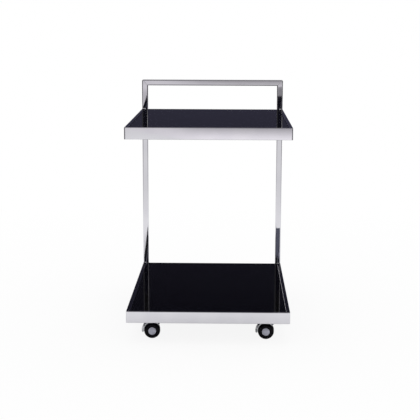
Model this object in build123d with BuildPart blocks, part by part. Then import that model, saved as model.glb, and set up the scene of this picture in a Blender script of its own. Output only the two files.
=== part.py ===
from build123d import *
import os
from math import cos, radians, sin

# Two-tier serving cart. X runs across the cart, +Y points to the handle end, +Z is up.
# The origin is on the floor, under the middle of the cart. Sizes are in millimetres.

# Overall
cart_width = 500.0
cart_depth = 700.0
tier_pitch = 561.0  # from the lower rim to the upper rim
handle_rise = 102.0  # from the upper rim to the top of the handle

# Posts and handle: square tube
tube_size = 20.0
tube_wall = 1.5
tube_corner = 3.0
seam_radius = 4.0  # dressed corner of a mitred weld
plug_flange = 2.0
plug_depth = 10.0
plug_clearance = 0.1

# Tray rails: flat tube on edge
rail_width = 12.0
rail_height = 36.0
rail_wall = 1.5
rail_corner = 1.5
rear_drop = 4.0  # how far the rear rail lies below the rim, so that a cloth can wipe over the back edge

# Glass, and the ledges and pads that carry it
glass_thickness = 5.0
glass_recess = 1.0  # how far the rim stands above the glass
glass_gap = 1.0
glass_corner = 3.0
glass_arris = 0.6
ledge_width = 10.0
ledge_thickness = 2.0
ledge_weld_gap = 1.0
pad_diameter = 8.0
pad_thickness = 1.0
pad_end_margin = 40.0

# Bars that carry the casters
bar_width = 20.0
bar_wall = 1.5
bar_headroom = 2.0  # between the bar and the glass ledge above it
bar_weld_gap = 0.05
nut_flats = 13.0
nut_height = 6.5
nut_clearance = 0.05
stud_hole_clearance = 0.25

# Casters
caster_inset = 73.0  # from the swivel axis to the side and to the end of the cart
caster_trail = 2.0  # from the swivel axis to the axle
wheel_diameter = 50.0
wheel_width = 12.5
wheel_crown = 2.0  # flat tread beside the inner face
wheel_face_radius = 15.0
wheel_edge_break = 0.8
wheel_rim = 5.0
wheel_hub_radius = 8.0
wheel_dish_depth = 7.0
wheel_recess_depth = 3.5
axle_diameter = 6.0
axle_head_radius = 4.5
axle_head_height = 1.2
axle_end_float = 0.15
axle_boss_radius = 8.0
cap_diameter = 23.6
cap_edge = 0.7
cap_dome = 3.0
cap_spigot_radius = 9.5
cap_spigot_wall = 2.5
cap_spigot_depth = 2.9
hood_clearance = 2.0
hood_wall = 2.0
hood_crown = 3.5  # rise of the hood's middle above its edges
hood_width = 28.0
hood_front_angle = 188.0  # lower edge on the leading side, from the rolling direction
hood_back_angle = 42.0  # lower edge on the trailing side
boss_diameter = 16.0
boss_rise = 3.0  # swivel boss above the hood
pin_diameter = 7.0
pin_wall = 2.0  # hood web on each side of the swivel pin
pin_floor = 4.0  # hood web between the swivel bore and the axle hole
pin_end_gap = 1.0
pin_chamfer = 0.6
washer_thickness = 1.5
flange_flats = 15.0
flange_height = 4.0
stud_diameter = 8.0
stud_past_nut = 3.0
clip_height = 1.0
clip_wall = 1.2
clip_lift = 3.0  # clip above the end of the pin
clip_slot = 2.0
clip_side_gap = 0.3
running_clearance = 0.05
press_clearance = 0.01
web_side_gap = 0.5  # between the hood's web and a wheel

# Each caster's side across X, its end along Y, and the way it happens to have trailed, in degrees
casters = {
    "front_left": (-1, -1, 4.0),
    "front_right": (1, -1, -2.0),
    "rear_left": (-1, 1, 9.0),
    "rear_right": (1, 1, -6.0),
}

# Heights worked out from the caster upwards
wheel_radius = wheel_diameter / 2
axle_radius = axle_diameter / 2
pin_radius = pin_diameter / 2
hood_inner = wheel_radius + hood_clearance
hood_outer = hood_inner + hood_wall + hood_crown
boss_top = wheel_radius + hood_outer + boss_rise
flange_bottom = boss_top + washer_thickness
tray_underside = flange_bottom + flange_height
lower_rim = tray_underside + rail_height
upper_rim = lower_rim + tier_pitch
cart_height = upper_rim + handle_rise

# Plan positions
side = cart_width / 2
front = -cart_depth / 2
back = cart_depth / 2
post_front = back - tube_size
opening_width = cart_width - 2 * rail_width
opening_front = front + rail_width
opening_depth = post_front - opening_front
opening_middle = (opening_front + post_front) / 2
caster_x = side - caster_inset
caster_y = back - caster_inset

# Depths below each rim
glass_bottom = glass_recess + glass_thickness
ledge_top = glass_bottom + pad_thickness
ledge_bottom = ledge_top + ledge_thickness
bar_height = rail_height - ledge_bottom - bar_headroom

os.makedirs("parts", exist_ok=True)


def save(piece, name):
    """Label a finished piece and write it under its own name."""
    piece.part.label = name
    export_step(piece.part, f"parts/{name}.step")


def corner_waste(plane, inward_x, inward_y):
    """What a dressed weld loses: a square centred on the sharp corner, less the circle of the rounded one."""
    with BuildSketch(plane) as waste:
        Rectangle(2 * seam_radius, 2 * seam_radius)
        with Locations((inward_x * seam_radius, inward_y * seam_radius)):
            Circle(seam_radius, mode=Mode.SUBTRACT)
    return waste.sketch


# Posts and handle: an inverted U of square tube, mitred and welded at its two top corners
left_seam = Plane(origin=(-side, 0, cart_height), z_dir=(1, 0, 1))
right_seam = Plane(origin=(side, 0, cart_height), z_dir=(-1, 0, 1))
behind = back + seam_radius
left_waste = corner_waste(Plane(origin=(-side, behind, cart_height), x_dir=(1, 0, 0), z_dir=(0, -1, 0)), 1, -1)
right_waste = corner_waste(Plane(origin=(side, behind, cart_height), x_dir=(1, 0, 0), z_dir=(0, -1, 0)), -1, -1)
post_bottom = tray_underside + plug_flange
post_length = cart_height - post_bottom
post_y = back - tube_size / 2
post_x = side - tube_size / 2

for name, x, seam, waste in (
    ("left_post", -post_x, left_seam, left_waste),
    ("right_post", post_x, right_seam, right_waste),
):
    with BuildPart() as post:
        with BuildSketch(Plane(origin=(x, post_y, post_bottom))):
            RectangleRounded(tube_size, tube_size, tube_corner)
            Rectangle(tube_size - 2 * tube_wall, tube_size - 2 * tube_wall, mode=Mode.SUBTRACT)
        extrude(amount=post_length)
        extrude(to_extrude=waste, amount=cart_depth, mode=Mode.SUBTRACT)
        split(bisect_by=seam, keep=Keep.BOTTOM)
    save(post, name)

handle_start = Plane(origin=(-side, post_y, cart_height - tube_size / 2), x_dir=(0, 1, 0), z_dir=(1, 0, 0))
with BuildPart() as handle_bar:
    with BuildSketch(handle_start):
        RectangleRounded(tube_size, tube_size, tube_corner)
        Rectangle(tube_size - 2 * tube_wall, tube_size - 2 * tube_wall, mode=Mode.SUBTRACT)
    extrude(amount=cart_width)
    extrude(to_extrude=left_waste, amount=cart_depth, mode=Mode.SUBTRACT)
    extrude(to_extrude=right_waste, amount=cart_depth, mode=Mode.SUBTRACT)
    split(bisect_by=left_seam, keep=Keep.TOP)
    split(bisect_by=right_seam, keep=Keep.TOP)
save(handle_bar, "handle_bar")

plug_side = tube_size - 2 * tube_wall - 2 * plug_clearance
with BuildPart() as post_plugs:
    with BuildSketch(Plane(origin=(0, post_y, tray_underside))):
        with Locations((-post_x, 0), (post_x, 0)):
            RectangleRounded(tube_size, tube_size, tube_corner)
    extrude(amount=plug_flange)
    with BuildSketch(Plane(origin=(0, post_y, post_bottom))):
        with Locations((-post_x, 0), (post_x, 0)):
            Rectangle(plug_side, plug_side)
    extrude(amount=plug_depth)
save(post_plugs, "post_plugs")

# Trays: flat-tube frames, mitred at the front corners, with the glass lying on ledges inside the rim
left_mitre = Plane(origin=(-side, front, 0), z_dir=(1, -1, 0))
right_mitre = Plane(origin=(side, front, 0), z_dir=(-1, -1, 0))
left_corner = corner_waste(Plane(origin=(-side, front, 0)), 1, 1)
right_corner = corner_waste(Plane(origin=(side, front, 0)), -1, 1)
ledge_x = opening_width / 2 - ledge_width / 2
ledge_y = opening_depth / 2 - ledge_width / 2
cross_ledge = opening_width - 2 * ledge_width - 2 * ledge_weld_gap
rear_length = cart_width - 2 * tube_size
rear_height = rail_height - rear_drop
side_length = post_front - front
pad_pitch_y = opening_depth / 2 - pad_end_margin
pad_pitch_x = cross_ledge - 2 * pad_end_margin

for tier, rim in (("upper", upper_rim), ("lower", lower_rim)):
    rail_middle = rim - rail_height / 2

    with BuildPart() as front_rail:
        rail_start = (-side, front + rail_width / 2, rail_middle)
        with BuildSketch(Plane(origin=rail_start, x_dir=(0, 1, 0), z_dir=(1, 0, 0))):
            RectangleRounded(rail_width, rail_height, rail_corner)
            Rectangle(rail_width - 2 * rail_wall, rail_height - 2 * rail_wall, mode=Mode.SUBTRACT)
        extrude(amount=cart_width)
        extrude(to_extrude=left_corner, amount=cart_height, mode=Mode.SUBTRACT)
        extrude(to_extrude=right_corner, amount=cart_height, mode=Mode.SUBTRACT)
        split(bisect_by=left_mitre, keep=Keep.TOP)
        split(bisect_by=right_mitre, keep=Keep.TOP)
    save(front_rail, f"{tier}_front_rail")

    for hand, x, mitre, waste in (
        ("left", -1, left_mitre, left_corner),
        ("right", 1, right_mitre, right_corner),
    ):
        with BuildPart() as side_rail:
            rail_start = (x * (side - rail_width / 2), front, rail_middle)
            with BuildSketch(Plane(origin=rail_start, x_dir=(1, 0, 0), z_dir=(0, 1, 0))):
                RectangleRounded(rail_width, rail_height, rail_corner)
                Rectangle(rail_width - 2 * rail_wall, rail_height - 2 * rail_wall, mode=Mode.SUBTRACT)
            extrude(amount=side_length)
            extrude(to_extrude=waste, amount=cart_height, mode=Mode.SUBTRACT)
            split(bisect_by=mitre, keep=Keep.BOTTOM)
        save(side_rail, f"{tier}_{hand}_rail")

    with BuildPart() as rear_rail:
        rail_start = (-rear_length / 2, post_front + rail_width / 2, rail_middle - rear_drop / 2)
        with BuildSketch(Plane(origin=rail_start, x_dir=(0, 1, 0), z_dir=(1, 0, 0))):
            RectangleRounded(rail_width, rear_height, rail_corner)
            Rectangle(rail_width - 2 * rail_wall, rear_height - 2 * rail_wall, mode=Mode.SUBTRACT)
        extrude(amount=rear_length)
    save(rear_rail, f"{tier}_rear_rail")

    with BuildPart() as glass_ledges:
        with BuildSketch(Plane(origin=(0, opening_middle, rim - ledge_bottom))):
            with Locations((-ledge_x, 0), (ledge_x, 0)):
                Rectangle(ledge_width, opening_depth)
            with Locations((0, -ledge_y), (0, ledge_y)):
                Rectangle(cross_ledge, ledge_width)
        extrude(amount=ledge_thickness)
    save(glass_ledges, f"{tier}_glass_ledges")

    with BuildPart() as glass_pads:
        with BuildSketch(Plane(origin=(0, opening_middle, rim - ledge_top))):
            with GridLocations(2 * ledge_x, pad_pitch_y, 2, 3):
                Circle(pad_diameter / 2)
            with GridLocations(pad_pitch_x, 2 * ledge_y, 2, 2):
                Circle(pad_diameter / 2)
        extrude(amount=pad_thickness)
    save(glass_pads, f"{tier}_glass_pads")

    with BuildPart() as glass:
        with BuildSketch(Plane(origin=(0, opening_middle, rim - glass_bottom))):
            RectangleRounded(opening_width - 2 * glass_gap, opening_depth - 2 * glass_gap, glass_corner)
        extrude(amount=glass_thickness)
        chamfer(glass.faces().sort_by(Axis.Z)[-1].edges(), glass_arris)
        chamfer(glass.faces().sort_by(Axis.Z)[0].edges(), glass_arris)
    save(glass, f"{tier}_glass")

# Caster bars: tubes across the lower frame, drilled for the stems, with a weld nut over each hole
bar_length = opening_width - 2 * bar_weld_gap
for name, y in (("front_caster_bar", -caster_y), ("rear_caster_bar", caster_y)):
    with BuildPart() as bar:
        bar_start = (-bar_length / 2, y, tray_underside + bar_height / 2)
        with BuildSketch(Plane(origin=bar_start, x_dir=(0, 1, 0), z_dir=(1, 0, 0))):
            RectangleRounded(bar_width, bar_height, rail_corner)
            Rectangle(bar_width - 2 * bar_wall, bar_height - 2 * bar_wall, mode=Mode.SUBTRACT)
        extrude(amount=bar_length)
        with BuildSketch(Plane(origin=(0, y, tray_underside))):
            with Locations((-caster_x, 0), (caster_x, 0)):
                Circle(stud_diameter / 2 + stud_hole_clearance)
        extrude(amount=bar_wall, mode=Mode.SUBTRACT)
    save(bar, name)

with BuildPart() as caster_nuts:
    with BuildSketch(Plane.XY.offset(tray_underside + bar_wall)):
        with GridLocations(2 * caster_x, 2 * caster_y, 2, 2):
            RegularPolygon(nut_flats / 2, 6, major_radius=False)
            Circle(stud_diameter / 2 + nut_clearance, mode=Mode.SUBTRACT)
    extrude(amount=nut_height)
save(caster_nuts, "caster_nuts")

# Casters: a hood that swivels on a fixed stem and carries two wheels on one riveted axle
web_thickness = pin_diameter + 2 * pin_wall
wheel_inner_face = web_thickness / 2 + web_side_gap
wheel_outer_face = wheel_inner_face + wheel_width
recess_floor = wheel_outer_face - wheel_recess_depth
head_start = recess_floor + axle_end_float
head_end = head_start + axle_head_height
bore_floor = wheel_radius + axle_radius + pin_floor
pin_end = bore_floor + pin_end_gap
clip_bottom = pin_end + clip_lift
clip_inner = pin_radius - clip_wall / 2
clip_outer = pin_radius + clip_wall / 2
stud_length = bar_wall + nut_height + stud_past_nut
boss_radius = boss_diameter / 2
hood_sweep = hood_front_angle - hood_back_angle

for corner, (across, along, heading) in casters.items():
    rolling = Vector(cos(radians(heading)), sin(radians(heading)), 0)
    floor_point = Vector(across * caster_x, along * caster_y, 0)
    foot = Plane(origin=floor_point, x_dir=rolling, z_dir=(0, 0, 1))
    axle_centre = floor_point + rolling * caster_trail + Vector(0, 0, wheel_radius)
    axle_line = Axis(axle_centre, foot.y_dir)
    axle_frame = Plane(origin=axle_centre, x_dir=foot.y_dir, z_dir=rolling)
    web_frame = Plane(origin=axle_centre, x_dir=rolling, z_dir=-foot.y_dir)

    with BuildPart() as stem:
        with BuildSketch(foot.offset(flange_bottom)):
            RegularPolygon(flange_flats / 2, 6, major_radius=False)
        extrude(amount=flange_height)
        with BuildSketch(foot.offset(tray_underside)):
            Circle(stud_diameter / 2)
        extrude(amount=stud_length)
        chamfer(stem.faces().sort_by(Axis.Z)[-1].edges(), pin_chamfer)
        with BuildSketch(foot.offset(pin_end)):
            Circle(pin_radius)
        extrude(amount=flange_bottom - pin_end)
        chamfer(stem.faces().sort_by(Axis.Z)[0].edges(), pin_chamfer)
        with BuildSketch(foot.offset(clip_bottom - running_clearance)):
            Circle(pin_radius + running_clearance)
            Circle(clip_inner - running_clearance, mode=Mode.SUBTRACT)
        extrude(amount=clip_height + 2 * running_clearance, mode=Mode.SUBTRACT)
    save(stem, f"{corner}_stem")

    with BuildPart() as clip:
        with BuildSketch(foot.offset(clip_bottom)):
            Circle(clip_outer)
            Circle(clip_inner, mode=Mode.SUBTRACT)
            with Locations((clip_outer, 0)):
                Rectangle(2 * clip_outer, clip_slot, mode=Mode.SUBTRACT)
        extrude(amount=clip_height)
    save(clip, f"{corner}_clip")

    with BuildPart() as washer:
        with BuildSketch(foot.offset(boss_top)):
            Circle(boss_radius)
            Circle(pin_radius + running_clearance, mode=Mode.SUBTRACT)
        extrude(amount=washer_thickness)
    save(washer, f"{corner}_washer")

    # The hood is a crowned mudguard swept round the wheels, with a web between them and a swivel boss on top
    back_angle = radians(hood_back_angle)
    hood_normal = rolling * sin(back_angle) - Vector(0, 0, cos(back_angle))
    with BuildPart() as hood:
        with BuildSketch(Plane(origin=axle_centre, x_dir=foot.y_dir, z_dir=hood_normal)):
            with BuildLine():
                half = hood_width / 2
                edge = hood_inner + hood_wall
                Polyline((half, edge), (half, hood_inner), (-half, hood_inner), (-half, edge))
                ThreePointArc((-half, edge), (0, hood_outer), (half, edge))
            make_face()
        revolve(axis=Axis(axle_centre, -foot.y_dir), revolution_arc=hood_sweep)
        with BuildSketch(web_frame):
            Circle(hood_inner + hood_wall / 2)
            with BuildLine():
                reach = 2 * hood_outer
                low = hood_front_angle - 360
                fan = [hood_back_angle + (low - hood_back_angle) * step / 4 for step in range(5)]
                rays = [(reach * cos(radians(ray)), reach * sin(radians(ray))) for ray in fan]
                Polyline((0, 0), *rays, close=True)
            make_face(mode=Mode.SUBTRACT)
            Circle(axle_boss_radius)
        extrude(amount=web_thickness / 2, both=True)
        with BuildSketch(foot.offset(wheel_radius + hood_inner)):
            Circle(boss_radius)
        extrude(amount=boss_top - wheel_radius - hood_inner)
        with BuildSketch(foot.offset(bore_floor)):
            Circle(pin_radius + running_clearance)
        extrude(amount=boss_top - bore_floor, mode=Mode.SUBTRACT)
        with BuildSketch(foot.offset(clip_bottom - clip_side_gap)):
            Circle(clip_outer + clip_side_gap)
        extrude(amount=clip_height + 2 * clip_side_gap, mode=Mode.SUBTRACT)
        with BuildSketch(web_frame):
            Circle(axle_radius + press_clearance)
        extrude(amount=web_thickness, both=True, mode=Mode.SUBTRACT)
    save(hood, f"{corner}_hood")

    with BuildPart() as axle:
        with BuildSketch(axle_frame):
            with BuildLine():
                Polyline(
                    (-head_end, 0),
                    (-head_end, axle_head_radius),
                    (-head_start, axle_head_radius),
                    (-head_start, axle_radius),
                    (head_start, axle_radius),
                    (head_start, axle_head_radius),
                    (head_end, axle_head_radius),
                    (head_end, 0),
                    close=True,
                )
            make_face()
        revolve(axis=axle_line)
    save(axle, f"{corner}_axle")

    for end, outward in (("front", -1), ("rear", 1)):
        half_frame = Plane(origin=axle_centre, x_dir=foot.y_dir * outward, z_dir=rolling * outward)

        with BuildPart() as wheel:
            with BuildSketch(half_frame):
                with BuildLine():
                    tread_end = wheel_inner_face + wheel_edge_break + wheel_crown
                    dish_floor = wheel_inner_face + wheel_dish_depth
                    dish_radius = wheel_radius - wheel_rim
                    bore = axle_radius + running_clearance
                    TangentArc((tread_end, wheel_radius), (wheel_outer_face, wheel_face_radius), tangent=(1, 0))
                    Polyline(
                        (wheel_outer_face, wheel_face_radius),
                        (wheel_outer_face, cap_spigot_radius),
                        (recess_floor, cap_spigot_radius),
                        (recess_floor, bore),
                        (wheel_inner_face, bore),
                        (wheel_inner_face, wheel_hub_radius),
                        (dish_floor, wheel_hub_radius),
                        (dish_floor, dish_radius),
                        (wheel_inner_face, dish_radius),
                        (wheel_inner_face, wheel_radius - wheel_edge_break),
                        (wheel_inner_face + wheel_edge_break, wheel_radius),
                        (tread_end, wheel_radius),
                    )
                make_face()
            revolve(axis=axle_line)
        save(wheel, f"{corner}_wheel_{end}")

        with BuildPart() as cap:
            with BuildSketch(half_frame):
                with BuildLine():
                    cap_radius = cap_diameter / 2
                    spigot = cap_spigot_radius - press_clearance
                    spigot_end = wheel_outer_face - cap_spigot_depth
                    spigot_inner = cap_spigot_radius - cap_spigot_wall
                    cap_rim = (wheel_outer_face + cap_edge, cap_radius)
                    cap_top = (wheel_outer_face + cap_dome, 0)
                    Polyline(
                        cap_top,
                        (wheel_outer_face, 0),
                        (wheel_outer_face, spigot_inner),
                        (spigot_end, spigot_inner),
                        (spigot_end, spigot),
                        (wheel_outer_face, spigot),
                        (wheel_outer_face, cap_radius),
                        cap_rim,
                    )
                    TangentArc(cap_top, cap_rim, tangent=(0, 1))
                make_face()
            revolve(axis=axle_line)
        save(cap, f"{corner}_cap_{end}")
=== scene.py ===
import math

import bmesh
import bpy
import numpy as np
from mathutils import Matrix, Vector


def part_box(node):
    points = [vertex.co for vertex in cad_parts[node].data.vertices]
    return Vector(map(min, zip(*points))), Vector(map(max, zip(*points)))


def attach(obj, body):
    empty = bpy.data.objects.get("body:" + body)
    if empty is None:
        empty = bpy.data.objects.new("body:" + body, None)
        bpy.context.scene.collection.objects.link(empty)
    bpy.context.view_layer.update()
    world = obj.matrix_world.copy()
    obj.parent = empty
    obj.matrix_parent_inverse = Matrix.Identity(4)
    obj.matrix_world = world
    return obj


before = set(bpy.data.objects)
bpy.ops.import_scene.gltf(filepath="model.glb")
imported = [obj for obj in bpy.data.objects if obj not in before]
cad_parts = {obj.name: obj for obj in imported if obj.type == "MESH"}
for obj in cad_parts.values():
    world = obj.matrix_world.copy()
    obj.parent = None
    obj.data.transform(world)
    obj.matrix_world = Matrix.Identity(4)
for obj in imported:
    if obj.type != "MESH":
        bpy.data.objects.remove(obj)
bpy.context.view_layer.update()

# Posts and handle. An inverted U of square stainless tube, mitred and welded at its two top corners.
# It is buffed to a mirror, which leaves faint lines along the tube and a slow ripple in the wall.
mm = 0.001
polished_dark = "#D7D6DC"
polished_light = "#DCDBE0"
buffing_line = 1.2 * mm  # real lines are some 0.05 mm apart, and are drawn wider so that they show
buffing_length = 160 * mm
wall_ripple = 55 * mm
ripple_height = 0.012 * mm
post_rise = {"left": -0.0265, "right": 0.036}  # metres in a metre across X, left by uneven buffing
noise_range = 0.3, 0.7  # most of a soft noise lies between these


def linear(hex_colour):
    """An sRGB hex colour as linear red, green, blue and alpha."""
    part = np.array([int(hex_colour[i:i + 2], 16) for i in (1, 3, 5)]) / 255
    part = np.where(part <= 0.04045, part / 12.92, ((part + 0.055) / 1.055) ** 2.4)
    return (*part.tolist(), 1.0)


def add_node(tree, kind, sockets=None, **settings):
    """One shader node with its settings, and its sockets: each a value, or a socket or node to link from."""
    node = tree.nodes.new(kind)
    for name, value in settings.items():
        setattr(node, name, value)
    for name, value in (sockets or {}).items():
        if isinstance(value, bpy.types.Node):
            value = value.outputs[0]
        if isinstance(value, bpy.types.NodeSocket):
            tree.links.new(value, node.inputs[name])
        else:
            node.inputs[name].default_value = value
    return node


def new_material(name):
    """An empty material: the material, its node tree, and the Object coordinates that its patterns read."""
    material = bpy.data.materials.new(name)
    material.use_nodes = True
    tree = material.node_tree
    tree.nodes.clear()
    return material, tree, add_node(tree, "ShaderNodeTexCoord").outputs["Object"]


def between(tree, noise, low, high):
    """A value or an sRGB colour that goes from low to high as a noise goes through its usual range."""
    start, end = noise_range
    step = {"Value": noise, "From Min": start, "From Max": end}
    if not isinstance(low, str):
        return add_node(tree, "ShaderNodeMapRange", {**step, "To Min": low, "To Max": high})
    share = add_node(tree, "ShaderNodeMapRange", step)
    # sockets 6 and 7 of a Mix node are its two colours, and output 2 is the colour between them
    colours = {0: share, 6: linear(low), 7: linear(high)}
    return add_node(tree, "ShaderNodeMix", colours, data_type="RGBA").outputs[2]


def surface(tree, **sockets):
    """The shader and output that end a material. Underscores in the names stand for spaces."""
    named = {name.replace("_", " "): value for name, value in sockets.items()}
    shader = add_node(tree, "ShaderNodeBsdfPrincipled", named)
    add_node(tree, "ShaderNodeOutputMaterial", {"Surface": shader})


def dress(material, *nodes):
    """Give CAD nodes a material in place of the plain one they were packed with."""
    for name in nodes:
        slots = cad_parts[name].data.materials
        slots.clear()
        slots.append(material)


def polished_stainless(name, along, rise=0.0):
    """Buffed stainless steel: a mirror with fine lines along the axis `along` and a slow ripple in its wall.

    A rise tips the mirror on faces that look along Y: a bump that climbs so many metres in a metre across X.
    """
    material, tree, place = new_material(name)
    line_size = np.full(3, buffing_line)
    line_size[along] = buffing_length
    spread = add_node(tree, "ShaderNodeMapping", {"Vector": place, "Scale": (1 / line_size).tolist()})
    lines = add_node(tree, "ShaderNodeTexNoise", {"Vector": spread, "Scale": 1.0, "Detail": 2.0})
    ripple = add_node(tree, "ShaderNodeTexNoise", {"Vector": place, "Scale": 1 / wall_ripple, "Detail": 1.0})
    relief = {"Height": ripple, "Distance": ripple_height}
    if rise:
        across = add_node(tree, "ShaderNodeSeparateXYZ", {"Vector": place}).outputs["X"]
        climb = add_node(tree, "ShaderNodeMath", {0: across, 1: rise}, operation="MULTIPLY")
        relief["Normal"] = add_node(tree, "ShaderNodeBump", {"Height": climb, "Distance": 1.0})
    surface(
        tree,
        Base_Color=between(tree, ripple, polished_dark, polished_light),
        Metallic=1.0,
        Roughness=between(tree, lines, 0.02, 0.045),
        Normal=add_node(tree, "ShaderNodeBump", relief),
    )
    return material


for hand, rise in post_rise.items():
    dress(polished_stainless(f"polished_stainless_{hand}_post", 2, rise), f"{hand}_post")
steel_x = polished_stainless("polished_stainless_across", 0)
steel_y = polished_stainless("polished_stainless_along", 1)
dress(steel_x, "handle_bar")

# Mitre welds of the handle. Each corner is welded along its 45 degree cut, ground flush and buffed.
# What is left is a narrow line across the front and the back of the tube, a little duller than the steel.
weld_dark = "#C6C5C8"
weld_light = "#D8D7DA"
weld_grain = 1.6 * mm
weld_relief = 0.02 * mm
seam_width = 1.3 * mm
seam_crown = 0.06 * mm
seam_steps = 25
crown_points = 9
seam_root = 0.5, -0.5  # the seam closes below the surface on half its width
sink = 0.02 * mm  # how far a weld reaches into the metal under it
tube_corner = 3.0 * mm
crease = math.radians(40)  # edges that turn by more than this stay crisp


def closed_tube(name, rows, material, body):
    """A piece from a grid of points: the rows are closed sections along a path, and the ends are capped."""
    count, around = rows.shape[:2]
    index = np.arange(count * around).reshape(count, around)
    after = np.roll(index, -1, axis=1)
    quads = np.stack([index[:-1], after[:-1], after[1:], index[1:]], axis=-1).reshape(-1, 4)
    mesh = bpy.data.meshes.new(name)
    faces = quads.tolist() + [index[0].tolist(), index[-1][::-1].tolist()]
    mesh.from_pydata(rows.reshape(-1, 3).tolist(), [], faces)
    shell = bmesh.new()
    shell.from_mesh(mesh)
    bmesh.ops.recalc_face_normals(shell, faces=shell.faces)
    shell.to_mesh(mesh)
    shell.free()
    mesh.shade_smooth()
    mesh.set_sharp_from_angle(angle=crease)
    mesh.materials.append(material)
    piece = bpy.data.objects.new(name, mesh)
    bpy.context.scene.collection.objects.link(piece)
    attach(piece, body)


def seam_line(name, start, end, outward):
    """A low crown carried in a straight line: half a cosine wave over the seam's width, closed underneath."""
    start, end, outward = (np.array(point, float) for point in (start, end, outward))
    along = np.linspace(0, 1, seam_steps)[:, None, None]
    sideways = np.cross(end - start, outward)
    sideways /= np.linalg.norm(sideways)
    wave = np.linspace(-1, 1, crown_points)
    across = np.append(wave, seam_root) * seam_width / 2
    height = np.append(seam_crown * np.cos(wave * math.pi / 2), [-sink, -sink])
    path = start + (end - start) * along
    rows = path + across[:, None] * sideways + height[:, None] * outward
    closed_tube(name, rows, ground_weld, "frame")


ground_weld, tree, place = new_material("ground_stainless_weld")
grinding = add_node(tree, "ShaderNodeTexNoise", {"Vector": place, "Scale": 1 / weld_grain, "Detail": 2.0})
surface(
    tree,
    Base_Color=between(tree, grinding, weld_dark, weld_light),
    Metallic=0.6,
    Roughness=between(tree, grinding, 0.16, 0.30),
    Normal=add_node(tree, "ShaderNodeBump", {"Height": grinding, "Distance": weld_relief}),
)
handle_low, handle_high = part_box("handle_bar")
tube = handle_high.y - handle_low.y
for hand, side in (("left", -1), ("right", 1)):
    outer_x = side * (handle_high.x - tube_corner)
    inner_x = side * (handle_high.x - tube + tube_corner)
    outer_z = handle_high.z - tube_corner
    inner_z = handle_high.z - tube + tube_corner
    for face, y, facing in (("front", handle_low.y, -1), ("back", handle_high.y, 1)):
        ends = (outer_x, y, outer_z), (inner_x, y, inner_z)
        seam_line(f"handle_{hand}_{face}_seam", *ends, (0, facing, 0))

# Tray rails. Each tray is a frame of flat stainless tube on edge, mitred at the front corners, its side
# rails welded to the fronts of the posts and its rear rail between them. The beads are fillet welds.
rail_corner = 1.5 * mm
corner_points = 9
edge_points = 22
side_points = 60
fillet_leg = 1.8 * mm
hollow_points = 8
run_out = 2 * fillet_leg  # over this length at each end the bead thins down
thin_end = 0.35  # to this share of its leg
ripple_pitch = 2.6 * mm  # one swell of the bead for each dip of the filler rod
ripple_swell = 0.05
for tier in ("upper", "lower"):
    dress(steel_x, f"{tier}_front_rail", f"{tier}_rear_rail")
    dress(steel_y, f"{tier}_left_rail", f"{tier}_right_rail")


def round_outline(width, height, corner, start):
    """A U round a rail's end: along its top from `start`, down its free side and back along its bottom.

    The two corners are quarter circles. Gives points and outward directions, in the plane of the end.
    """
    quarter = np.linspace(0, math.pi / 2, corner_points)
    top = np.linspace(start, width - corner, edge_points)[:-1]
    down = np.linspace(-corner, corner - height, side_points)[1:-1]
    turn = np.stack([np.sin(quarter), np.cos(quarter)], axis=-1)
    upper_turn = (width - corner, -corner) + corner * turn
    lower_turn = (width - corner, corner - height) + corner * turn[::-1] * (1, -1)
    points = np.concatenate([
        np.stack([top, 0 * top], axis=-1),
        upper_turn,
        np.stack([0 * down + width, down], axis=-1),
        lower_turn,
        np.stack([top[::-1], 0 * top - height], axis=-1),
    ])
    outward = np.concatenate([
        np.tile((0.0, 1.0), (len(top), 1)),
        turn,
        np.tile((1.0, 0.0), (len(down), 1)),
        turn[::-1] * (1, -1),
        np.tile((0.0, -1.0), (len(top), 1)),
    ])
    return points, outward


def fillet_weld(name, corner, across, out, width, height):
    """A bead round three sides of a rail's end where it meets a post, carried along a U round the rail.

    Its section is a hollow quarter circle from post to rail, whose leg swells in a sine wave along the bead
    and thins in a straight line at its two ends.
    """
    corner, across, out = (np.array(vector, float) for vector in (corner, across, out))
    up = np.array((0.0, 0.0, 1.0))
    points, outward = round_outline(width, height, rail_corner, tube_corner)
    steps = np.linalg.norm(np.diff(points, axis=0), axis=1)
    run = np.append(0, np.cumsum(steps))
    to_end = np.minimum(run, run[-1] - run)
    fade = thin_end + (1 - thin_end) * np.clip(to_end / run_out, 0, 1)
    leg = fillet_leg * fade * (1 + ripple_swell * np.sin(2 * math.pi * run / ripple_pitch))
    turn = np.linspace(0, math.pi / 2, hollow_points)
    from_rail = np.append(leg[:, None] * (1 - np.sin(turn)), 0 * leg[:, None], axis=1) - sink
    from_post = np.append(leg[:, None] * (1 - np.cos(turn)), 0 * leg[:, None], axis=1) - sink
    flat = points[:, None, :] + from_rail[:, :, None] * outward[:, None, :]
    rows = corner + flat[..., :1] * across + flat[..., 1:] * up + from_post[..., None] * out
    closed_tube(name, rows, ground_weld, "frame")


post_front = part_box("left_post")[0].y
for tier in ("upper", "lower"):
    side_low, side_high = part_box(f"{tier}_right_rail")
    rear_low, rear_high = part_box(f"{tier}_rear_rail")
    front_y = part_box(f"{tier}_front_rail")[0].y
    width = side_high.x - side_low.x
    for hand, side in (("left", -1), ("right", 1)):
        flush = (side * side_high.x, post_front, side_high.z)
        end = width, side_high.z - side_low.z
        fillet_weld(f"{tier}_{hand}_rail_weld", flush, (-side, 0, 0), (0, -1, 0), *end)
        flush = (side * rear_high.x, rear_low.y, rear_high.z)
        end = width, rear_high.z - rear_low.z
        fillet_weld(f"{tier}_rear_{hand}_weld", flush, (0, 1, 0), (-side, 0, 0), *end)
        outer = side * (side_high.x - rail_corner), front_y + rail_corner
        inner = side * (side_low.x + rail_corner), front_y + width - rail_corner
        for face, z, facing in (("top", side_high.z, 1), ("under", side_low.z, -1)):
            seam_line(f"{tier}_{hand}_{face}_seam", (*outer, z), (*inner, z), (0, 0, facing))

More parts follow.
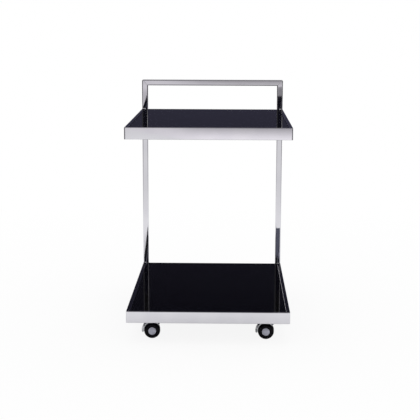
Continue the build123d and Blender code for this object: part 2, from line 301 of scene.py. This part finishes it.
# Glass ledges and caster bars. Flat steel strips welded inside the rim carry each panel, and two tubes
# across the lower frame carry the casters on weld nuts. All are bright zinc plated, with a soft spangle.
zinc_dark = "#A9AEB4"
zinc_light = "#C3C6C9"
zinc_spangle = 6 * mm
zinc_relief = 0.03 * mm
zinc_plate, tree, place = new_material("zinc_plated_steel")
spangle = add_node(tree, "ShaderNodeTexNoise", {"Vector": place, "Scale": 1 / zinc_spangle, "Detail": 4.0})
surface(
    tree,
    Base_Color=between(tree, spangle, zinc_dark, zinc_light),
    Metallic=1.0,
    Roughness=between(tree, spangle, 0.24, 0.40),
    Normal=add_node(tree, "ShaderNodeBump", {"Height": spangle, "Distance": zinc_relief}),
)
dress(zinc_plate, "upper_glass_ledges", "lower_glass_ledges")
dress(zinc_plate, "front_caster_bar", "rear_caster_bar", "caster_nuts")

# Glass pads. Small clear silicone discs on the ledges keep the glass off the steel.
# They are soft, slightly cloudy, and a little dusty on the outside.
silicone_clear = "#DADAD8"
silicone_dusty = "#C8C8C5"
dust_size = 1.5 * mm
dust_height = 0.02 * mm
clear_silicone, tree, place = new_material("clear_silicone")
dust = add_node(tree, "ShaderNodeTexNoise", {"Vector": place, "Scale": 1 / dust_size, "Detail": 2.0})
surface(
    tree,
    Base_Color=between(tree, dust, silicone_dusty, silicone_clear),
    Roughness=between(tree, dust, 0.25, 0.45),
    IOR=1.41,
    Transmission_Weight=0.5,
    Normal=add_node(tree, "ShaderNodeBump", {"Height": dust, "Distance": dust_height}),
)
dress(clear_silicone, "upper_glass_pads", "lower_glass_pads")

# Glass panels. Black tempered glass with ground arrises, laid loose inside the rim of each tray.
# The surface is a dark mirror, barely wavy, that a wiping cloth has left with a faint, broad smear.
glass_black = "#050508"
glass_haze = "#08080C"
smear_width = 45 * mm
smear_length = 160 * mm
glass_wave = 90 * mm
wave_height = 0.004 * mm
black_glass, tree, place = new_material("black_tempered_glass")
wiping = [1 / smear_length, 1 / smear_width, 1 / smear_width]
spread = add_node(tree, "ShaderNodeMapping", {"Vector": place, "Scale": wiping})
smear = add_node(tree, "ShaderNodeTexNoise", {"Vector": spread, "Scale": 1.0, "Detail": 3.0})
wave = add_node(tree, "ShaderNodeTexNoise", {"Vector": place, "Scale": 1 / glass_wave, "Detail": 0.0})
surface(
    tree,
    Base_Color=between(tree, smear, glass_black, glass_haze),
    Roughness=between(tree, smear, 0.015, 0.045),
    IOR=1.52,
    Normal=add_node(tree, "ShaderNodeBump", {"Height": wave, "Distance": wave_height}),
)
dress(black_glass, "upper_glass", "lower_glass")

# Plugs and washers. Moulded black plastic with a fine grain: a plug closes the foot of each post, and a
# washer runs between each caster's boss and its stem.
moulded_dark = "#0C0C0E"
moulded_light = "#141417"
mould_grain = 0.9 * mm
mould_relief = 0.03 * mm
black_plastic, tree, place = new_material("black_moulded_plastic")
grain = add_node(tree, "ShaderNodeTexNoise", {"Vector": place, "Scale": 1 / mould_grain, "Detail": 2.0})
surface(
    tree,
    Base_Color=between(tree, grain, moulded_dark, moulded_light),
    Roughness=between(tree, grain, 0.42, 0.56),
    Normal=add_node(tree, "ShaderNodeBump", {"Height": grain, "Distance": mould_relief}),
)
corners = [f"{end}_{hand}" for end in ("front", "rear") for hand in ("left", "right")]
dress(black_plastic, "post_plugs", *(f"{corner}_washer" for corner in corners))

# Caster stems, clips and axles. Turned steel, zinc plated: the stem screws up into its weld nut, the
# clip holds the hood on its pin, and the axle is riveted over at both ends.
for corner in corners:
    dress(zinc_plate, f"{corner}_stem", f"{corner}_clip", f"{corner}_axle")

# Caster hoods. Die-cast zinc, polished and chrome plated, swept over both wheels.
# The plate is bright, with the slight orange peel of a polished casting.
chrome_dark = "#B6B7BB"
chrome_light = "#C4C5C8"
orange_peel = 5 * mm
peel_height = 0.004 * mm
chrome_plate, tree, place = new_material("chrome_plated_zinc")
peel = add_node(tree, "ShaderNodeTexNoise", {"Vector": place, "Scale": 1 / orange_peel, "Detail": 1.0})
surface(
    tree,
    Base_Color=between(tree, peel, chrome_dark, chrome_light),
    Metallic=1.0,
    Roughness=between(tree, peel, 0.03, 0.07),
    Normal=add_node(tree, "ShaderNodeBump", {"Height": peel, "Distance": peel_height}),
)
dress(chrome_plate, *(f"{corner}_hood" for corner in corners))

# Wheels. Moulded black nylon with a crowned tread, running free on the axle.
# The moulding has a fine grain and a low gloss, with scuffed patches that are a little duller.
nylon_dark = "#07060B"
nylon_light = "#0C0B12"
nylon_grain = 0.7 * mm
nylon_relief = 0.02 * mm
scuff_size = 7 * mm
black_nylon, tree, place = new_material("black_moulded_nylon")
grain = add_node(tree, "ShaderNodeTexNoise", {"Vector": place, "Scale": 1 / nylon_grain, "Detail": 2.0})
scuff = add_node(tree, "ShaderNodeTexNoise", {"Vector": place, "Scale": 1 / scuff_size, "Detail": 3.0})
surface(
    tree,
    Base_Color=between(tree, scuff, nylon_dark, nylon_light),
    Roughness=between(tree, scuff, 0.34, 0.50),
    Specular_IOR_Level=0.12,
    Normal=add_node(tree, "ShaderNodeBump", {"Height": grain, "Distance": nylon_relief}),
)
for corner in corners:
    dress(black_nylon, f"{corner}_wheel_front", f"{corner}_wheel_rear")

# Hub caps. Silver-grey moulded discs with a low dome, pressed into the outer face of each wheel.
# The colour is a fine metal flake in the plastic.
cap_dark = "#BABBCA"
cap_light = "#CACBD8"
flake_size = 0.6 * mm
flake_height = 0.01 * mm
grey_cap, tree, place = new_material("silver_grey_plastic")
flake = add_node(tree, "ShaderNodeTexNoise", {"Vector": place, "Scale": 1 / flake_size, "Detail": 2.0})
surface(
    tree,
    Base_Color=between(tree, flake, cap_dark, cap_light),
    Metallic=0.25,
    Roughness=between(tree, flake, 0.30, 0.42),
    Normal=add_node(tree, "ShaderNodeBump", {"Height": flake, "Distance": flake_height}),
)
for corner in corners:
    dress(grey_cap, f"{corner}_cap_front", f"{corner}_cap_rear")

# Floor. White studio paper, rolled out far past the cart on every side and lit from above. To the camera it
# keeps the cart's soft shadow, and goes over to plain white further out, as overlit paper does. In the steel
# and the glass it shows the lit paper only near the cart. Further out they show a glow whose brightness is
# set by distance, not by the lamps: a painted reflection.
floor_white = "#F6F6F6"
plain_white = "#FFFFFF"
floor_reach = 14.0
floor_seen = (0.6, 0.9), (2.2, 1.0)  # distances from the cart's middle, and the share of plain white there
floor_mirrored = (0.6, 0.0), (0.8, 1.0)  # the same, for the floor in the steel and the glass
# painted reflection: the glow that the steel and the glass show of the floor, set by distance and not lit by
# the lamps
mirrored_floor_glow = (0.9, 1.0), (2.0, 0.86), (4.5, 0.86), (5.9, 0.97), (6.7, 0.86)  # how bright they show that white


def stage_sheet(name, points, faces, material):
    """A flat or folded sheet of the studio, which isn't part of the cart."""
    mesh = bpy.data.meshes.new(name)
    mesh.from_pydata(np.asarray(points, float).tolist(), [], np.asarray(faces).tolist())
    mesh.materials.append(material)
    sheet = bpy.data.objects.new(name, mesh)
    bpy.context.scene.collection.objects.link(sheet)
    return sheet


def seen_directly(tree):
    """1 for what is seen, straight, mirrored or through glass, and 0 for the light that falls on things."""
    path = add_node(tree, "ShaderNodeLightPath").outputs
    mirrored = {0: path["Is Camera Ray"], 1: path["Is Glossy Ray"]}
    either = add_node(tree, "ShaderNodeMath", mirrored, operation="MAXIMUM")
    through = {0: either, 1: path["Is Transmission Ray"]}
    return add_node(tree, "ShaderNodeMath", through, operation="MAXIMUM")


def stepped(tree, place, stops):
    """A value that goes in straight lines between stops: heights or distances, each with the value there."""
    reach = stops[-1][0]
    share = add_node(tree, "ShaderNodeMapRange", {"Value": place, "From Max": reach})
    ramp = add_node(tree, "ShaderNodeValToRGB", {0: share})
    elements = ramp.color_ramp.elements
    while len(elements) < len(stops):
        elements.new(1.0)
    for element, (at, value) in zip(elements, stops):
        element.position = at / reach
        element.color = (value, value, value, 1.0)
    return ramp


floor_paper, tree, place = new_material("white_floor")
distance = add_node(tree, "ShaderNodeVectorMath", {0: place}, operation="LENGTH").outputs["Value"]
straight = add_node(tree, "ShaderNodeLightPath").outputs["Is Camera Ray"]
shares = {"To Min": stepped(tree, distance, floor_mirrored), "To Max": stepped(tree, distance, floor_seen)}
share = add_node(tree, "ShaderNodeMapRange", {"Value": straight, **shares})
seen_share = add_node(tree, "ShaderNodeMath", {0: share, 1: seen_directly(tree)}, operation="MULTIPLY")
paper = add_node(tree, "ShaderNodeBsdfDiffuse", {"Color": linear(floor_white)})
whites = {"To Min": stepped(tree, distance, mirrored_floor_glow), "To Max": 1.0}
white = add_node(tree, "ShaderNodeMapRange", {"Value": straight, **whites})
glow = add_node(tree, "ShaderNodeEmission", {"Color": linear(plain_white), "Strength": white})
mixed = add_node(tree, "ShaderNodeMixShader", {0: seen_share, 1: paper, 2: glow})
add_node(tree, "ShaderNodeOutputMaterial", {"Surface": mixed})
square = np.array([(-1, -1), (1, -1), (1, 1), (-1, 1)])
stage_sheet("studio_floor", np.c_[square * floor_reach, np.zeros(4)], [[0, 1, 2, 3]], floor_paper)

# Room. Glowing sheets in the shape of a studio: the front wall askew and pale near the floor, a dim ceiling,
# and a brighter card under it where the soft box hangs. The camera sees white instead, and the sheets light
# nothing. Only the steel and the glass mirror them, so what they show there is a painted reflection, its
# brightness set by height.
wall_tint = "#D3CFFF"
pale_tint = "#FFFCFF"
left_wall = -2.6
right_wall = 2.9
rear_wall = 8.0
front_right = right_wall, -5.65
front_bend = -0.3, -6.05
front_left = left_wall, -9.25
rear_left = left_wall, rear_wall
rear_right = right_wall, rear_wall
ceiling = 4.2
stand_off = 0.02  # how far a card or a board stands off what is behind it
box_size = 2.4
ceiling_light = 0.25
card_light = 0.5
# how brightly each wall glows, as painted reflection in the steel and the glass: heights and the light there
rear_light = (0.0, 1.0), (0.05, 0.07), (1.5, 0.059), (1.8, 0.028), (2.4, 0.019)
side_light = (0.0, 1.0), (0.05, 0.06), (1.4, 0.05), (1.9, 0.35), (4.2, 0.35)
pale_left_light = (0.0, 0.86), (0.06, 0.8), (0.38, 0.78), (0.6, 0.3), (0.95, 0.015)
pale_right_light = (
    (0.0, 1.19), (0.03, 1.04), (0.112, 0.41), (0.2, 0.36), (0.28, 0.36), (0.34, 0.95), (0.371, 0.68),
    (0.403, 0.44), (0.55, 0.2), (0.95, 0.015),
)
pale_across = -0.6, -0.1  # across X, where the front wall goes from its left light to its right light


def room_light(name, tint, light, right_light=None):
    """A glow that follows height by the given stops, and goes over to a second light across X where given."""
    material, tree, place = new_material(name)
    at = add_node(tree, "ShaderNodeSeparateXYZ", {"Vector": place}).outputs
    strength = stepped(tree, at["Z"], light)
    if right_light:
        start, end = pale_across
        right_strength = stepped(tree, at["Z"], right_light)
        across = {"Value": at["X"], "From Min": start, "From Max": end}
        lights = {"To Min": strength, "To Max": right_strength}
        strength = add_node(tree, "ShaderNodeMapRange", {**across, **lights})
    glow = add_node(tree, "ShaderNodeEmission", {"Color": linear(tint), "Strength": strength})
    add_node(tree, "ShaderNodeOutputMaterial", {"Surface": glow})
    return material


def even(light):
    """The stops of a light that is the same from the floor to the ceiling."""
    return (0.0, light), (ceiling, light)


def mirrored_only(sheet):
    """Hide a sheet of the studio from the camera and from the light on the cart, so that it shows only as a
    painted reflection.
    """
    sheet.visible_camera = False
    sheet.visible_diffuse = False
    sheet.visible_shadow = False


def standing(name, corners, low, high, material):
    """A run of flat walls over the given corners, from one height to another."""
    foot = np.array(corners, float)
    count = len(foot)
    points = np.concatenate([np.c_[foot, np.full(count, height)] for height in (low, high)])
    step = np.arange(count - 1)
    faces = np.stack([step, step + 1, step + 1 + count, step + count], axis=-1)
    mirrored_only(stage_sheet(name, points, faces, material))


def lying(name, corners, height, light):
    """A flat level sheet over the given corners, in an even light."""
    glow = room_light(name, pale_tint, even(light))
    points = np.c_[np.array(corners, float), np.full(len(corners), height)]
    mirrored_only(stage_sheet(name, points, [list(range(len(corners)))], glow))


front_wall = front_right, front_bend, front_left
pale_glow = room_light("pale_wall", pale_tint, pale_left_light, pale_right_light)
rear_glow = room_light("rear_wall", wall_tint, rear_light)
side_glow = room_light("side_wall", pale_tint, side_light)
standing("front_wall", front_wall, 0.0, ceiling, pale_glow)
standing("left_wall", (front_left, rear_left), 0.0, ceiling, side_glow)
standing("rear_wall", (rear_left, rear_right), 0.0, ceiling, rear_glow)
standing("right_wall", (rear_right, front_right), 0.0, ceiling, side_glow)
lying("ceiling", (*front_wall, rear_left, rear_right), ceiling, ceiling_light)
lying("ceiling_card", square * box_size / 2, ceiling - stand_off, card_light)

# Boards and strips. Glowing grey sheets lie on the floor before the cart, to its left and right, and a low
# white glowing strip stands along each side wall. They light nothing and the camera doesn't see them: the
# sides of the rails and the posts mirror them as painted reflections.
board_light = 0.3
board_side = 1.3  # each board goes from this far out to the wall
board_rear = -0.7
board_front = -6.0
glow_strip_along = -0.8, 3.0
glow_strip_height = 0.5
glow_strip_light = (0.0, 0.75), (0.28, 0.7), (glow_strip_height, 0.25)
glow_strip_glow = room_light("glow_strip_board", pale_tint, glow_strip_light)
for hand, wall in (("left", left_wall), ("right", right_wall)):
    inner = math.copysign(board_side, wall)
    board = (inner, board_front), (wall, board_front), (wall, board_rear), (inner, board_rear)
    lying(f"{hand}_board", board, stand_off, board_light)
    glow_strip_ends = [(wall - math.copysign(stand_off, wall), y) for y in glow_strip_along]
    standing(f"{hand}_glow_strip", glow_strip_ends, 0.0, glow_strip_height, glow_strip_glow)

# Flags. Three glowing sheets hung before the camera, which sees through them, and which light nothing. The
# posts mirror them by way of the glass, and that paints into the posts their black feet, the slate part of
# the lower right one and the grey of the upper: painted reflections.
slate_tint = "#DFE3FF"
flag_place = -3.2
# the light of each sheet is its own glow, set for the painted reflection it draws
flags = {  # across X, in height, the colour of the cloth and the light on it
    "black": ((-0.6, 0.6), (0.853, 1.12), wall_tint, 0.015),
    "slate": ((0.0, 0.6), (0.638, 0.853), slate_tint, 0.42),
    "grey": ((0.1, 0.21), (0.414, 0.523), pale_tint, 0.31),
}
for colour, (across, height, tint, light) in flags.items():
    flag_ends = [(x, flag_place) for x in across]
    standing(f"{colour}_flag", flag_ends, *height, room_light(f"{colour}_cloth", tint, even(light)))

# Light panels. Two narrow glowing panels, at the right and far back on the left, which light nothing and show
# only in the steel. They paint the thin bright lines along the rounded edges of the posts and of the rails:
# painted highlights.
panel_light = 0.9
side_panel = (-3.8, -0.6), (1.0, 1.25)  # along Y, and in height
back_panel = (-2.2, -1.1), (0.3, 1.5)  # across X, and in height
painted_highlight_panel = room_light("painted_highlight_panel", pale_tint, even(panel_light))
side_ends = [(right_wall - stand_off, y) for y in side_panel[0]]
back_ends = [(x, rear_wall - stand_off) for x in back_panel[0]]
standing("side_panel", side_ends, *side_panel[1], painted_highlight_panel)
standing("back_panel", back_ends, *back_panel[1], painted_highlight_panel)

# Soft box and backdrop. One square lamp hangs over the cart and casts its soft shadow, in white that is even
# all round. The lamp isn't mirrored itself: the glowing card under the ceiling stands for it, as its painted
# reflection.
box_height = 3.9
box_power = 30.0
backdrop_light = 0.8
lamp = bpy.data.lights.new("soft_box", "AREA")
lamp.shape = "SQUARE"
lamp.size = box_size
lamp.energy = box_power
soft_box = bpy.data.objects.new("soft_box", lamp)
soft_box.location = (0, 0, box_height)
soft_box.visible_glossy = False
bpy.context.scene.collection.objects.link(soft_box)

world = bpy.data.worlds.new("studio_white")
bpy.context.scene.world = world
world.use_nodes = True
tree = world.node_tree
tree.nodes.clear()
strengths = {"Value": seen_directly(tree), "To Min": backdrop_light, "To Max": 1.0}
strength = add_node(tree, "ShaderNodeMapRange", strengths)
backdrop = add_node(tree, "ShaderNodeBackground", {"Color": linear(plain_white), "Strength": strength})
add_node(tree, "ShaderNodeOutputWorld", {"Surface": backdrop})
bpy.context.scene.view_settings.view_transform = "Standard"

# Camera. A long lens a little right of the middle and above the handle, tipped down on the cart,
# at the place and angles that fit the photograph best.
photo_width = 420
focal_pixels = 1091.1
camera_place = Vector((0.0647, -3.5587, 0.9817))
pitch = math.radians(9.981)
yaw = math.radians(-1.059)
roll = math.radians(0.174)
lens = bpy.data.cameras.new("camera")
lens.sensor_width = 36.0
lens.lens = lens.sensor_width * focal_pixels / photo_width
camera = bpy.data.objects.new("camera", lens)
bpy.context.scene.collection.objects.link(camera)
forward = Vector((math.sin(yaw) * math.cos(pitch), math.cos(yaw) * math.cos(pitch), -math.sin(pitch)))
level = Vector((math.cos(yaw), -math.sin(yaw), 0))
upright = level.cross(forward)
right = math.cos(roll) * level + math.sin(roll) * upright
top = math.cos(roll) * upright - math.sin(roll) * level
turned = Matrix((right, top, -forward)).transposed().to_4x4()
camera.matrix_world = Matrix.Translation(camera_place) @ turned
bpy.context.scene.camera = camera
